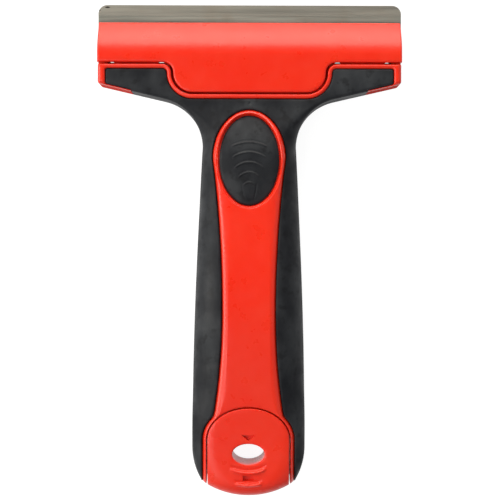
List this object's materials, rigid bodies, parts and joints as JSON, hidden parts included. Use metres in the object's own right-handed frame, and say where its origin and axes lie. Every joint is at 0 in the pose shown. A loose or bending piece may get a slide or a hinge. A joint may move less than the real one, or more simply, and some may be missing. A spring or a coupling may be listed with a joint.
{
  "type": "tile and glass scraper",
  "caption": "Hand scraper with a wide steel blade under a sprung clamp cover, a soft grip, a thumb pad and a pull-out drawer for spare blades.",
  "frame": {"origin": "middle of the outline seen from the front, at the height of the surface that the scraper's back lies on", "axes": "+Y along the handle towards the cutting edge, +Z out of the front with the thumb pad, +X to the right in that view"},
  "size_m": [0.1, 0.1614, 0.02],
  "materials": {
    "red_plastic": "satin moulded ABS",
    "black_rubber": "matt soft overmoulding",
    "blade_steel": "ground carbon steel",
    "spring_steel": "drawn wire"
  },
  "bodies": {
    "handle": {"handle_core": "red_plastic", "soft_grip": "black_rubber", "thumb_pad": "black_rubber", "scraper_blade": "blade_steel", "hinge_pin_left": "spring_steel", "hinge_pin_right": "spring_steel", "clamp_spring_left": "spring_steel", "clamp_spring_right": "spring_steel"},
    "cover": {"clamp_cover": "red_plastic"},
    "drawer": {"spare_blade_drawer": "red_plastic", "spare_blade_1": "blade_steel", "spare_blade_2": "blade_steel", "spare_blade_3": "blade_steel", "spare_blade_4": "blade_steel", "spare_blade_5": "blade_steel"}
  },
  "joints": [
    {"name": "clamp_rock", "type": "hinge", "parent": "handle", "child": "cover", "pos_m": [0, 0.06035, 0.0085], "axis": [1, 0, 0], "range_deg": [0, 7], "stiffness_Nm_per_rad": 0.05, "springref_deg": -22.92, "deforming": ["clamp_spring_left", "clamp_spring_right"]},
    {"name": "drawer_slide", "type": "slide", "parent": "handle", "child": "drawer", "axis": [0, -1, 0], "range_m": [0, 0.1]}
  ]
}
